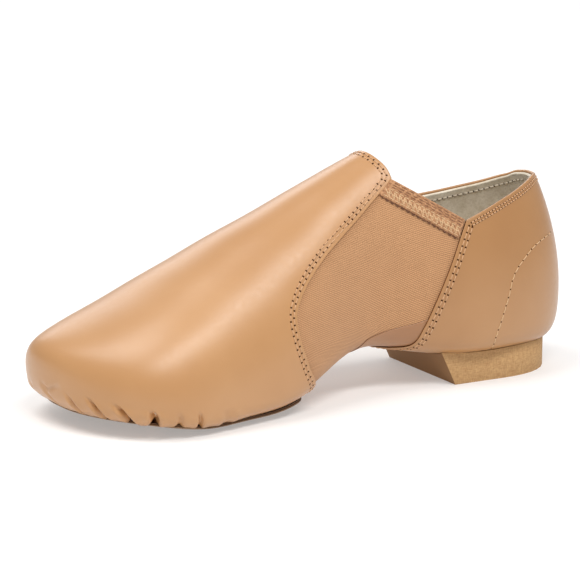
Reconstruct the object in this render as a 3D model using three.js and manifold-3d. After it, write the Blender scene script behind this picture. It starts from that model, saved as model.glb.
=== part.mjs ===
// A left jazz shoe: a soft leather slip-on with elastic gores, a split sole and a low heel.
// Millimetres, +Z up, the toe along +X and the outer (little toe) side along +Y.
// The origin is on the floor, in the middle of the flat base of the heel block.

import * as THREE from 'three';
import { mergeVertices } from 'three/addons/utils/BufferGeometryUtils.js';
import Module from 'manifold-3d';

const wasm = await Module();
wasm.setup();

// Overall sizes
const LENGTH = 241; // heel to toe over the leather
const BALL_WIDTH = 87; // across the widest part of the forefoot
const THROAT_HEIGHT = 97.6; // top of the vamp where it ends in the throat
const COLLAR_HEIGHT = 84; // top of the collar at the back of the heel
const DIP_HEIGHT = 70.9; // lowest place of the collar, where it meets the gore
const TOE_SPRING = 12; // rise of the tread under the tip of the toe
const HEEL_HEIGHT = 11.5; // heel block, floor to leather
const HEEL_WIDTH = 52; // across the heel block
const HEEL_TURN = -2; // how far the front of the heel block sits to the inner side
const BREAST_SLANT = 5.5; // how far the front of the heel block leans forward

// Thicknesses
const LEATHER = 1.2; // vamp and quarter
const LINING = 1.2; // lining and elastic, the inner shell
const BINDING = 0.9; // folded band along the top of each gore
const SOLE = 1.2; // forefoot sole patch
const INSOLE = 1.8; // padded insole
const GAP = 0.3; // clearance between pieces that touch
const EDGE_GAP = 0.5; // clearance between leather edges, along the shoe
const BINDING_WIDTH = 9; // height of the band
const LASTING_MARGIN = 13; // leather turned in under the foot, around the sole opening
const SOLE_INSET = 6; // sole patch in from the widest outline
const INSOLE_INSET = 7; // insole in from the widest outline

// Depths under the outer face of the leather
const LINING_OUT = LEATHER + GAP;
const LINING_IN = LINING_OUT + LINING;
const INSOLE_OUT = LINING_IN + GAP;

// The girdle is the widest line around the shoe. A row per section, from the heel to the toe:
// place (of LENGTH), centre and half width (of BALL_WIDTH), rise over the underside
// (of THROAT_HEIGHT), and how full the wall is over the girdle (2) and under it (2).
const GIRDLE = [
  { at: 0.0, centre: 0.0, half: 0.0, rise: 0.225, up: 0.5, top: 0.45, down: 0.84, base: 0.84 },
  { at: 0.04, centre: 0.0, half: 0.244, rise: 0.224, up: 0.5, top: 0.42, down: 0.9, base: 0.88 },
  { at: 0.14, centre: 0.0, half: 0.359, rise: 0.209, up: 0.5, top: 0.42, down: 0.88, base: 0.88 },
  { at: 0.27, centre: -0.005, half: 0.367, rise: 0.2, up: 0.52, top: 0.46, down: 0.9, base: 0.88 },
  { at: 0.42, centre: -0.044, half: 0.345, rise: 0.185, up: 0.56, top: 0.56, down: 0.8, base: 0.78 },
  { at: 0.58, centre: -0.024, half: 0.444, rise: 0.187, up: 0.55, top: 0.55, down: 0.84, base: 0.84 },
  { at: 0.72, centre: -0.013, half: 0.491, rise: 0.136, up: 0.54, top: 0.57, down: 0.92, base: 0.92 },
  { at: 0.84, centre: 0.0, half: 0.487, rise: 0.09, up: 0.56, top: 0.62, down: 0.84, base: 0.84 },
  { at: 0.94, centre: -0.056, half: 0.353, rise: 0.093, up: 0.57, top: 0.63, down: 0.8, base: 0.8 },
  { at: 1.0, centre: -0.139, half: 0.0, rise: 0.186, up: 0.56, top: 0.62, down: 0.64, base: 0.64 },
];
// The ridge is the line along the top: place (of LENGTH), side (of BALL_WIDTH) and height
// (of THROAT_HEIGHT). Over the collar it only gives the foot's opening its shape.
const RIDGE = [
  { at: 0.11, side: 0.0, height: 1.028 },
  { at: 0.25, side: 0.0, height: 1.095 },
  { at: 0.4, side: 0.0, height: 1.0 },
  { at: 0.55, side: -0.012, height: 0.836 },
  { at: 0.7, side: -0.035, height: 0.672 },
  { at: 0.82, side: -0.064, height: 0.529 },
  { at: 0.93, side: -0.094, height: 0.405 },
];
// The keel is the line along the underside: place (of LENGTH) and rise over the tread, as
// shares of HEEL_HEIGHT and TOE_SPRING. Under the ball it is pressed flat on the floor.
const KEEL = [
  { at: 0.1, heel: 0.8, toe: 0 },
  { at: 0.22, heel: 0.857, toe: 0 },
  { at: 0.33, heel: 1.063, toe: 0 },
  { at: 0.44, heel: 1.31, toe: 0 },
  { at: 0.55, heel: 0.443, toe: 0 },
  { at: 0.62, heel: 0.02, toe: 0 },
  { at: 0.7, heel: 0, toe: -0.01 },
  { at: 0.78, heel: 0, toe: -0.01 },
  { at: 0.93, heel: 0, toe: 0.42 },
];
const CLAMP = 0.03; // how softly the sections gather at the ends of the ridge and the keel

// Edges in side view: place (of LENGTH) and height (of THROAT_HEIGHT).
// Seam of the vamp on the gore, from the throat down to the sole.
const SEAM = [
  [0.37, 0.913], [0.448, 0.774], [0.546, 0.611], [0.599, 0.469],
  [0.604, 0.355], [0.585, 0.214], [0.558, 0.1], [0.535, -0.06],
];
// Edge of the vamp over the instep, up from the same corner.
const THROAT = [[0.37, 0.913], [0.3735, 0.958], [0.383, 0.996], [0.4, 1.05]];
// Front edge of the quarter, from under the collar's dip down and forward under the arch.
const FRONT = [
  [0.265, 0.652], [0.286, 0.542], [0.305, 0.445], [0.324, 0.344],
  [0.337, 0.275], [0.351, 0.2], [0.376, 0.18], [0.404, 0.168],
];
// Collar on the outer and the inner side, from the back to the dip: place (of LENGTH) and
// height from DIP_HEIGHT (0) up to COLLAR_HEIGHT (1). Both meet at the back of the heel.
const COLLAR_OUTER = [
  [-0.05, 1.1], [0.044, 1.0], [0.075, 0.95], [0.1, 0.83], [0.135, 0.64], [0.175, 0.43], [0.22, 0.17],
];
const COLLAR_INNER = [
  [-0.05, 1.1], [0.044, 1.0], [0.06, 0.7], [0.094, 0.43], [0.135, 0.26], [0.175, 0.14], [0.22, 0.05],
];
const DIP_AT = 0.248; // place of the dip (of LENGTH)

// Ends of the pieces under the foot (of LENGTH)
const BREAST_AT = 0.26;
const HEEL_BACK_AT = 0.03;
const HEEL_REACH = 0.13; // length of the rounded back of the heel block
const SOLE_ENDS = [0.552, 0.962];
const OPENING_ENDS = [0.61, 0.9];
const INSOLE_ENDS = [0.03, 0.955];
const ORIGIN_AT = (HEEL_BACK_AT + BREAST_AT) / 2;

const HEEL_BLANK = 1.7; // height of the heel block before the quarter is cut out of its top
const ROUNDNESS = 2.2; // of the rounded ends: 2 for an ellipse, more for a squarer one
// Lengths over which the outlines under the foot are rounded at the back and at the front
const SOLE_ROUND = [0.06, 0.25];
const OPENING_ROUND = [0.08, 0.2];
const INSOLE_ROUND = [0.12, 0.25];

// Grid of every skin: steps along the shoe, and steps from the girdle to the ridge or the keel
const STEPS_LONG = 28;
const STEPS_ROUND = 8;
const HEEL_STEPS = 9; // steps on each side of the rounded back of the heel block
const PLAN_STEPS = 28; // steps along the outlines under the foot
const SEAM_STEPS = 26;
const THROAT_STEPS = 8;
const FRONT_STEPS = 16;
const COLLAR_STEPS = 14;

// A smooth curve through the points (xs, ys), a cubic spline. It runs out level at both ends
// if flat, and straight if not. Returns its height and its slope at x.
function spline(xs, ys, flat) {
  const last = xs.length - 1;
  const width = xs.slice(1).map((x, i) => x - xs[i]);
  const rise = width.map((w, i) => (ys[i + 1] - ys[i]) / w);
  const ratio = [flat ? 0.5 : 0];
  const bend = [flat ? (3 * rise[0]) / width[0] : 0];
  for (let i = 1; i < last; i++) {
    const pivot = 2 * (width[i - 1] + width[i]) - width[i - 1] * ratio[i - 1];
    ratio.push(width[i] / pivot);
    bend.push((6 * (rise[i] - rise[i - 1]) - width[i - 1] * bend[i - 1]) / pivot);
  }
  const end = width[last - 1];
  bend.push(flat ? (-6 * rise[last - 1] - end * bend[last - 1]) / (end * (2 - ratio[last - 1])) : 0);
  for (let i = last - 1; i >= 0; i--) bend[i] -= ratio[i] * bend[i + 1];
  return (place) => {
    const x = Math.min(Math.max(place, xs[0]), xs[last]);
    const i = Math.min(xs.findLastIndex((knot) => knot <= x), last - 1);
    const a = (xs[i + 1] - x) / width[i];
    const b = 1 - a;
    const w = width[i];
    const height = a * ys[i] + b * ys[i + 1]
      + (((a ** 3 - a) * bend[i] + (b ** 3 - b) * bend[i + 1]) * w * w) / 6;
    const slope = rise[i] + (w * ((3 * b * b - 1) * bend[i + 1] - (3 * a * a - 1) * bend[i])) / 6;
    return { height, slope };
  };
}

// One column of a table as a curve
function column(table, key, value, flat) {
  return spline(table.map(key), table.map(value), flat);
}

// Sections crowd at both ends of the shoe: step 0 to 1 for place 0 to 1 of LENGTH, and back
const placeOf = (step) => (1 - Math.cos(Math.PI * step)) / 2;
const stepOf = (place) => Math.acos(1 - 2 * place) / Math.PI;

// A place kept softly between two ends
function softClamp(place, low, high) {
  const raised = low + CLAMP * Math.log1p(Math.exp((place - low) / CLAMP));
  return high - CLAMP * Math.log1p(Math.exp((high - raised) / CLAMP));
}

const rowStep = (row) => stepOf(row.at);
const girdle = {
  centre: column(GIRDLE, rowStep, (row) => row.centre * BALL_WIDTH, true),
  half: column(GIRDLE, rowStep, (row) => row.half * BALL_WIDTH, false),
  rise: column(GIRDLE, rowStep, (row) => row.rise * THROAT_HEIGHT, true),
  up: column(GIRDLE, rowStep, (row) => row.up, true),
  top: column(GIRDLE, rowStep, (row) => row.top, true),
  down: column(GIRDLE, rowStep, (row) => row.down, true),
  base: column(GIRDLE, rowStep, (row) => row.base, true),
};
const ridgeSide = column(RIDGE, (row) => row.at, (row) => row.side * BALL_WIDTH, false);
const ridgeHeight = column(RIDGE, (row) => row.at, (row) => row.height * THROAT_HEIGHT, false);
const keelHeight = column(
  KEEL, (row) => row.at,
  (row) => SOLE + GAP + row.heel * HEEL_HEIGHT + row.toe * TOE_SPRING, true,
);

// A point of the outer leather face. step runs 0 to 1 from heel to toe, side is 1 for the
// outer and -1 for the inner side, and round runs -1 at the keel, 0 at the girdle, 1 at the
// ridge. Each wall is a cubic curve that stands upright on the girdle and leaves it by the
// fullness of its row.
function facePoint(step, side, round) {
  const place = placeOf(step);
  const upper = round >= 0;
  const table = upper ? RIDGE : KEEL;
  const end = softClamp(place, table[0].at, table.at(-1).at);
  const keelEnd = softClamp(place, KEEL[0].at, KEEL.at(-1).at);
  const spine = (upper ? ridgeHeight : keelHeight)(end);
  const start = new THREE.Vector3(
    place * LENGTH,
    girdle.centre(step).height + side * girdle.half(step).height,
    keelHeight(keelEnd).height + girdle.rise(step).height,
  );
  const finish = new THREE.Vector3(
    end * LENGTH,
    upper ? ridgeSide(end).height : girdle.centre(stepOf(end)).height,
    spine.height,
  );
  const fullStart = (upper ? girdle.up : girdle.down)(step).height;
  const fullEnd = (upper ? girdle.top : girdle.base)(step).height;
  const handle = start.clone();
  handle.z += fullStart * (finish.z - start.z);
  const reach = start.clone().sub(finish).multiplyScalar(fullEnd);
  reach.z = (reach.x * spine.slope) / LENGTH;
  const curve = new THREE.CubicBezierCurve3(start, handle, finish.clone().add(reach), finish);
  return curve.getPoint(Math.abs(round));
}

// The closed outer face as one grid. Both sides share the ridge, the keel and the two ends.
function faceGrid() {
  const positions = [];
  const rows = [];
  for (let i = 0; i <= STEPS_LONG; i++) {
    rows.push([1, -1].map(() => []));
    for (const [k, side] of [1, -1].entries()) {
      for (let j = -STEPS_ROUND; j <= STEPS_ROUND; j++) {
        const shared = k === 1 && (i === 0 || i === STEPS_LONG || Math.abs(j) === STEPS_ROUND);
        if (shared) {
          rows[i][1].push(rows[i][0][j + STEPS_ROUND]);
        } else {
          const point = facePoint(i / STEPS_LONG, side, j / STEPS_ROUND);
          rows[i][k].push(positions.length / 3);
          positions.push(point.x - ORIGIN_AT * LENGTH, point.y, point.z);
        }
      }
    }
  }
  const index = [];
  for (let i = 0; i < STEPS_LONG; i++) {
    for (const k of [0, 1]) {
      for (let j = 0; j < 2 * STEPS_ROUND; j++) {
        const a = rows[i][k][j];
        const b = rows[i + 1][k][j];
        const c = rows[i + 1][k][j + 1];
        const d = rows[i][k][j + 1];
        index.push(...(k === 0 ? [a, c, b, a, d, c] : [a, b, c, a, c, d]));
      }
    }
  }
  const geometry = new THREE.BufferGeometry();
  geometry.setAttribute('position', new THREE.Float32BufferAttribute(positions, 3));
  geometry.setIndex(index);
  geometry.computeVertexNormals();
  return geometry;
}

// A closed three.js geometry as a solid
function solid(geometry) {
  const bare = geometry.clone();
  bare.deleteAttribute('normal');
  bare.deleteAttribute('uv');
  const merged = mergeVertices(bare, 1e-4);
  return new wasm.Manifold(new wasm.Mesh({
    numProp: 3,
    vertProperties: new Float32Array(merged.attributes.position.array),
    triVerts: new Uint32Array(merged.index.array),
  }));
}

const face = faceGrid();

// The solid inside the outer face moved in by depth, or out where depth is negative
function body(depth) {
  const moved = face.clone();
  const { position, normal } = moved.attributes;
  const point = new THREE.Vector3();
  const inward = new THREE.Vector3();
  for (let i = 0; i < position.count; i++) {
    point.fromBufferAttribute(position, i);
    inward.fromBufferAttribute(normal, i);
    point.addScaledVector(inward, -depth);
    position.setXYZ(i, point.x, point.y, point.z);
  }
  return solid(moved);
}

// The skin between two depths
const skin = (outer, inner) => body(outer).subtract(body(inner));

// A bar across the shoe with the side view given as [x, z] points, moved along x by shift
function sideBar(points, shift = 0) {
  const outline = new THREE.Shape(points.map(([x, z]) => new THREE.Vector2(x, z)));
  const bar = new THREE.ExtrudeGeometry(outline, { depth: 2 * BALL_WIDTH, bevelEnabled: false });
  bar.rotateX(Math.PI / 2);
  bar.translate(shift - ORIGIN_AT * LENGTH, BALL_WIDTH, 0);
  return solid(bar);
}

// An upright bar from low to high with the plan given as [x, y] points
function planBar(points, low, high) {
  const outline = new THREE.Shape(points.map(([x, y]) => new THREE.Vector2(x, y)));
  const bar = new THREE.ExtrudeGeometry(outline, { depth: high - low, bevelEnabled: false });
  bar.translate(-ORIGIN_AT * LENGTH, 0, low);
  return solid(bar);
}

// A smooth [x, z] line through table rows of [place, height], with height in units of tall
function sideLine(rows, tall, count) {
  const knots = rows.map(([place, height]) => new THREE.Vector2(place * LENGTH, height * tall));
  return new THREE.SplineCurve(knots).getPoints(count).map((point) => [point.x, point.y]);
}

// Share of the full width near the rounded back end: 0 at the end, 1 from reach on
function roundEnd(distance, reach) {
  const left = 1 - Math.min(Math.max(distance / reach, 0), 1);
  return (1 - left ** ROUNDNESS) ** (1 / ROUNDNESS);
}

// A plan outline between two places of LENGTH that follows the girdle, inset from it. It is
// rounded over a reach at the back, and over a reach at the front it takes the toe's own
// outline, drawn back to its front end.
function planOutline([back, front], inset, [backReach, frontReach]) {
  const sides = [[], []];
  for (let i = 0; i <= PLAN_STEPS; i++) {
    const place = back + (front - back) * placeOf(i / PLAN_STEPS);
    const toe = THREE.MathUtils.smoothstep(place, front - frontReach, front);
    const step = stepOf(Math.min(place + (1 - front) * toe, 1));
    const half = (girdle.half(step).height - inset * (1 - toe)) * roundEnd(place - back, backReach);
    const centre = girdle.centre(step).height;
    sides[0].push([place * LENGTH, centre - half]);
    if (half > 0) sides[1].unshift([place * LENGTH, centre + half]);
  }
  return sides.flat();
}

// A closed outline, listed anticlockwise, drawn in all round by a gap
function shrink(points, gap) {
  return points.map(([x, y], i) => {
    const before = points.at(i - 1);
    const after = points[(i + 1) % points.length];
    const run = [after[0] - before[0], after[1] - before[1]];
    const far = Math.hypot(...run);
    return [x - (gap * run[1]) / far, y + (gap * run[0]) / far];
  });
}

// Clear of the shoe over it, under it, behind it and in front of it
const HIGH = 2 * THROAT_HEIGHT;
const LOW = -THROAT_HEIGHT / 4;
const BEHIND = -LENGTH / 4;
const AHEAD = 5 * LENGTH / 4;
const seamLine = sideLine(SEAM, THROAT_HEIGHT, SEAM_STEPS);
const throatLine = sideLine(THROAT, THROAT_HEIGHT, THROAT_STEPS);
const dip = [DIP_AT * LENGTH, DIP_HEIGHT];
const frontLine = [dip, ...sideLine(FRONT, THROAT_HEIGHT, FRONT_STEPS)];

// The half of space on one side of the shoe's middle plane
function sideHalf(side) {
  const edge = side * BALL_WIDTH;
  return planBar([[BEHIND, 0], [AHEAD, 0], [AHEAD, edge], [BEHIND, edge]], LOW, HIGH);
}

// Everything over the collar, the gore top and the throat on one side
function overSide(collar, side) {
  const rows = collar.map(([place, share]) => (
    [place, DIP_HEIGHT + share * (COLLAR_HEIGHT - DIP_HEIGHT)]));
  const end = throatLine.at(-1)[0];
  const line = sideLine(rows, 1, COLLAR_STEPS);
  const view = [...line, dip, ...throatLine, [end, HIGH], [BEHIND, HIGH]];
  return sideBar(view).intersect(sideHalf(side));
}
const overTopline = overSide(COLLAR_OUTER, 1).add(overSide(COLLAR_INNER, -1));

// Side view of the vamp and of the quarter, each without its topline
const vampView = [
  ...seamLine.toReversed(), ...throatLine.slice(1), [throatLine.at(-1)[0], HIGH],
  [AHEAD, HIGH], [AHEAD, LOW], [seamLine.at(-1)[0], LOW],
];
const frontFoot = frontLine.at(-1)[0] + GAP;
const quarterView = [
  ...frontLine, [frontFoot, 0], [frontFoot, LOW], [BEHIND, LOW], [BEHIND, HIGH], [dip[0], HIGH],
];

// Opening underneath, where the forefoot sole closes the shoe
const footing = THROAT_HEIGHT / 6; // over every part of the forefoot's underside
const openingOutline = planOutline(OPENING_ENDS, LASTING_MARGIN, OPENING_ROUND);
const opening = planBar(openingOutline, LOW, footing);
const filler = planBar(shrink(openingOutline, EDGE_GAP), LOW, footing);

// Lining and elastic gores, the inner shell that holds the foot
function makeUpper() {
  return skin(LINING_OUT, LINING_IN).subtract(overTopline).subtract(opening);
}

// Leather over the toes and the instep
function makeVamp() {
  return skin(0, LEATHER).intersect(sideBar(vampView)).subtract(overTopline).subtract(opening);
}

// Leather around the heel, closed under the heel seat
function makeQuarter() {
  return skin(0, LEATHER).intersect(sideBar(quarterView)).subtract(overTopline);
}

// Folded band along the top edge of one gore, between the quarter and the vamp
function makeBinding(side) {
  const corner = throatLine[0];
  const run = corner[0] - dip[0];
  const climb = corner[1] - dip[1];
  const fall = (BINDING_WIDTH * Math.hypot(run, climb)) / run;
  const beyond = [corner[0] + run / 2, corner[1] + climb / 2];
  const before = [dip[0] - run / 4, dip[1] - climb / 4];
  const strip = sideBar([
    before, beyond, [beyond[0], beyond[1] - fall], [before[0], before[1] - fall],
  ]);
  return skin(LEATHER - BINDING, LEATHER).intersect(strip).intersect(sideHalf(side))
    .subtract(sideBar(vampView, -EDGE_GAP)).subtract(sideBar(quarterView, EDGE_GAP))
    .subtract(overTopline);
}

// Thin patch under the forefoot with the filler that closes the opening over it
function makeForefootSole() {
  const outline = planOutline(SOLE_ENDS, SOLE_INSET, SOLE_ROUND);
  const patch = skin(-GAP - SOLE, -GAP).intersect(planBar(outline, 0, footing));
  const plug = skin(-GAP - SOLE / 4, LINING_IN).intersect(filler);
  return patch.add(plug);
}

// Low block under the heel, flat on the floor, with its front leaning forward
function makeHeel() {
  const top = HEEL_BLANK * HEEL_HEIGHT;
  const lean = (BREAST_SLANT * top) / HEEL_HEIGHT;
  const breast = BREAST_AT * LENGTH;
  const outline = [];
  for (let i = -HEEL_STEPS; i <= HEEL_STEPS; i++) {
    const place = HEEL_BACK_AT + HEEL_REACH * placeOf(Math.abs(i) / HEEL_STEPS / 2) * 2;
    const half = (HEEL_WIDTH / 2) * roundEnd(place - HEEL_BACK_AT, HEEL_REACH);
    const turn = (HEEL_TURN * (place - HEEL_BACK_AT)) / (BREAST_AT - HEEL_BACK_AT);
    outline.push([place * LENGTH, turn + Math.sign(i) * half]);
  }
  outline.push([breast + lean, HEEL_TURN + HEEL_WIDTH / 2], [breast + lean, HEEL_TURN - HEEL_WIDTH / 2]);
  const view = sideBar([[0, 0], [breast, 0], [breast + lean, top], [0, top]]);
  return planBar(outline, 0, top).intersect(view).subtract(body(-GAP));
}

// Thin padded sheet that lies on the lining, from heel to toe
function makeInsole() {
  const inside = body(INSOLE_OUT);
  const sheet = inside.subtract(inside.translate([0, 0, INSOLE]));
  const outline = planOutline(INSOLE_ENDS, INSOLE_INSET, INSOLE_ROUND);
  return sheet.intersect(planBar(outline, 0, THROAT_HEIGHT / 2));
}

// A solid as a named mesh
function mesh(name, piece, color, roughness) {
  const { vertProperties, triVerts } = piece.getMesh();
  const geometry = new THREE.BufferGeometry();
  geometry.setAttribute('position', new THREE.Float32BufferAttribute(vertProperties, 3));
  geometry.setIndex(new THREE.Uint32BufferAttribute(triVerts, 1));
  geometry.computeVertexNormals();
  const material = new THREE.MeshStandardMaterial({ color, roughness, metalness: 0 });
  const named = new THREE.Mesh(geometry, material);
  named.name = name;
  return named;
}

const TAN = 0xcb9f74;
const ELASTIC = 0xb98f68;
const SUEDE = 0x8a6a4a;
const KHAKI = 0xb8935f;
const FELT = 0xa89c84;

const group = new THREE.Group();
group.add(
  mesh('upper', makeUpper(), ELASTIC, 0.9),
  mesh('vamp', makeVamp(), TAN, 0.45),
  mesh('quarter', makeQuarter(), TAN, 0.45),
  mesh('gore_binding_lateral', makeBinding(1), ELASTIC, 0.8),
  mesh('gore_binding_medial', makeBinding(-1), ELASTIC, 0.8),
  mesh('forefoot_sole', makeForefootSole(), SUEDE, 0.95),
  mesh('heel', makeHeel(), KHAKI, 0.85),
  mesh('insole', makeInsole(), FELT, 0.95),
);

export default group;
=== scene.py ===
# A left jazz shoe: a soft slip-on of tan leather with a ribbed elastic gore on each side,
# a split sole and a low fibre heel. It stands on its sole, the toe along +X and the outer
# side along +Y. The leather, the linings and the sole are worked out on one last.
import math

import bmesh
import bpy
import numpy as np
from mathutils import Matrix, Vector


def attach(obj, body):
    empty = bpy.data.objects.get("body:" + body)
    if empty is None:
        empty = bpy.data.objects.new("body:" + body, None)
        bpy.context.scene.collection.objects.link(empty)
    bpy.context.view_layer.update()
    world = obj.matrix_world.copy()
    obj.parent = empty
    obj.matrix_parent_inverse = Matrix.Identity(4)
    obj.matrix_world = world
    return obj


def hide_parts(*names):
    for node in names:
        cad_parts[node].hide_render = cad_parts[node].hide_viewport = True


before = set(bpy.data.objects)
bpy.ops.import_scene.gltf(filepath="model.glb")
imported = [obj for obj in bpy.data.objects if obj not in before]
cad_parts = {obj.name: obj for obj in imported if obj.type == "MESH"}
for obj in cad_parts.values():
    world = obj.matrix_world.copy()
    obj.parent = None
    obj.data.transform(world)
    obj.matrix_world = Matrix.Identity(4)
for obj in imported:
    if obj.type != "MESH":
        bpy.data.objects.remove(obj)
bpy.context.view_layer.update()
MM = 0.001

# Camera
# It stands far off, a little over the shoe, on its outer side and towards the toe, with a
# long lens. The shoe fills the square picture from edge to edge.
LOOK_AZIMUTH = math.radians(30.446)
LOOK_DOWN = math.radians(13.722)
LOOK_ROLL = math.radians(0.27)
LOOK_AT = Vector((93.165, 0.0, 40.995)) * MM
LOOK_FROM = 1250.69 * MM
LENS = 188.13
LENS_SHIFT = (-0.0036, 0.0106)
look_back = Vector((
    math.sin(LOOK_AZIMUTH) * math.cos(LOOK_DOWN),
    math.cos(LOOK_AZIMUTH) * math.cos(LOOK_DOWN),
    math.sin(LOOK_DOWN),
))
look_right = Vector((-math.cos(LOOK_AZIMUTH), math.sin(LOOK_AZIMUTH), 0.0))
look_up = look_back.cross(look_right)
eye = bpy.data.objects.new("camera", bpy.data.cameras.new("camera"))
eye.data.sensor_width = 36.0
eye.data.lens = LENS
eye.data.shift_x, eye.data.shift_y = LENS_SHIFT
eye.data.clip_end = 50.0
stand = Matrix((look_right, look_up, look_back)).transposed().to_4x4()
stand.translation = LOOK_AT + look_back * LOOK_FROM
eye.matrix_world = stand @ Matrix.Rotation(LOOK_ROLL, 4, "Z")
bpy.context.scene.collection.objects.link(eye)
bpy.context.scene.camera = eye

# Studio
# A plain pale floor that runs far back, so that it is also the background, with a soft box
# overhead, a long strip that draws the highlight along the vamp, and a soft box behind.


def linear(paint):
    """A colour such as 0xC99D70, as printed, in linear light: each part to the power 2.4."""
    parts = np.array([(paint >> 16) & 255, (paint >> 8) & 255, paint & 255]) / 255.0
    light = np.where(parts <= 0.04045, parts / 12.92, ((parts + 0.055) / 1.055) ** 2.4)
    return (*light.tolist(), 1.0)


def node(tree, kind, values=None, links=None, **settings):
    """Adds one node with its settings, its socket values and the sockets that feed it."""
    made = tree.nodes.new(kind)
    for name, setting in settings.items():
        setattr(made, name, setting)
    for socket, value in (values or {}).items():
        made.inputs[socket].default_value = value
    for socket, source in (links or {}).items():
        tree.links.new(source, made.inputs[socket])
    return made


def finish_named(name, **sockets):
    """A new material with one Principled shader whose even values are set on its own sockets."""
    made = bpy.data.materials.new(name)
    made.use_nodes = True
    shader = made.node_tree.nodes["Principled BSDF"]
    for socket, value in sockets.items():
        shader.inputs[socket.replace("_", " ")].default_value = value
    return made, made.node_tree, shader


FLOOR_HALF = 8.0
floor_mesh = bpy.data.meshes.new("studio_floor")
floor_mesh.from_pydata(
    [(-FLOOR_HALF, -FLOOR_HALF, 0), (FLOOR_HALF, -FLOOR_HALF, 0),
     (FLOOR_HALF, FLOOR_HALF, 0), (-FLOOR_HALF, FLOOR_HALF, 0)], [], [(0, 1, 2, 3)])
studio_floor = bpy.data.objects.new("studio_floor", floor_mesh)
bpy.context.scene.collection.objects.link(studio_floor)
# A softly lit opal sheet, as in catalogue pictures: even, matt, and pale in the shadows.
paper, _, _ = finish_named(
    "backlit_opal_sheet", Base_Color=linear(0xDADADA), Roughness=0.95,
    Emission_Color=linear(0xFFFFFF), Emission_Strength=0.3)
floor_mesh.materials.append(paper)


def soft_box(name, place, aim, width, height, power, paint):
    """A rectangular area light at place, turned to face aim."""
    lamp = bpy.data.lights.new(name, "AREA")
    lamp.shape = "RECTANGLE"
    lamp.size = width
    lamp.size_y = height
    lamp.energy = power
    lamp.color = linear(paint)[:3]
    holder = bpy.data.objects.new(name, lamp)
    holder.location = place
    holder.rotation_euler = (Vector(aim) - Vector(place)).to_track_quat("-Z", "Y").to_euler()
    bpy.context.scene.collection.objects.link(holder)


soft_box("soft_box_overhead", (0.75, -0.1, 1.6), (0.1, 0, 0.0), 0.9, 0.9, 14, 0xFFFCF8)
soft_box("soft_box_long_strip", (0.05, 0.85, 1.3), (0.08, 0, 0.05), 1.3, 0.3, 14, 0xFFFDFA)
soft_box("soft_box_behind", (-0.45, -1.5, 0.9), (0.05, 0, 0.06), 1.6, 0.7, 8, 0xFFFFFF)
room = bpy.data.worlds.new("pale_room")
room.use_nodes = True
room.node_tree.nodes["Background"].inputs["Color"].default_value = linear(0xFBFCFF)
room.node_tree.nodes["Background"].inputs["Strength"].default_value = 0.4
bpy.context.scene.world = room
bpy.context.scene.view_settings.view_transform = "Standard"

# Linings
# Grey felted cloth on the inside of the leather, one piece around the heel and one over the
# toes. They are cut and lasted with the leather, so the last's own surface comes first.
LENGTH = 241.0
BALL_WIDTH = 87.0
THROAT_HEIGHT = 97.6
COLLAR_HEIGHT = 84.0
DIP_HEIGHT = 70.9
TOE_SPRING = 12.0
HEEL_HEIGHT = 11.5
SOLE = 1.2
GAP = 0.3
HEEL_TO_ORIGIN = 0.145 * LENGTH
SOFT_END = 0.03
LINING_FACE = 1.25
LINING_BACK = 2.6
# Widest line round the shoe: place, centre, half width, rise, and fullness over and under it
GIRDLE = np.array([
    [0.0, 0.0, 0.0, 0.225, 0.5, 0.45, 0.84, 0.84],
    [0.04, 0.0, 0.244, 0.224, 0.5, 0.42, 0.9, 0.88],
    [0.14, 0.0, 0.359, 0.209, 0.5, 0.42, 0.88, 0.88],
    [0.27, -0.005, 0.367, 0.2, 0.52, 0.46, 0.9, 0.88],
    [0.42, -0.044, 0.345, 0.185, 0.56, 0.56, 0.8, 0.78],
    [0.58, -0.024, 0.444, 0.187, 0.55, 0.55, 0.84, 0.84],
    [0.72, -0.013, 0.491, 0.136, 0.54, 0.57, 0.92, 0.92],
    [0.84, 0.0, 0.487, 0.09, 0.56, 0.62, 0.84, 0.84],
    [0.94, -0.056, 0.353, 0.093, 0.57, 0.63, 0.8, 0.8],
    [1.0, -0.139, 0.0, 0.186, 0.56, 0.62, 0.64, 0.64],
])
# Line along the top: place, side and height
RIDGE = np.array([
    [0.11, 0.0, 1.028], [0.25, 0.0, 1.095], [0.4, 0.0, 1.0], [0.55, -0.012, 0.836],
    [0.7, -0.035, 0.672], [0.82, -0.064, 0.529], [0.93, -0.094, 0.405],
])
# Line along the underside: place, share of the heel's height and of the toe's rise
KEEL = np.array([
    [0.1, 0.8, 0.0], [0.22, 0.857, 0.0], [0.33, 1.063, 0.0], [0.44, 1.31, 0.0], [0.55, 0.443, 0.0],
    [0.62, 0.02, 0.0], [0.7, 0.0, -0.01], [0.78, 0.0, -0.01], [0.93, 0.0, 0.42],
])


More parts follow.
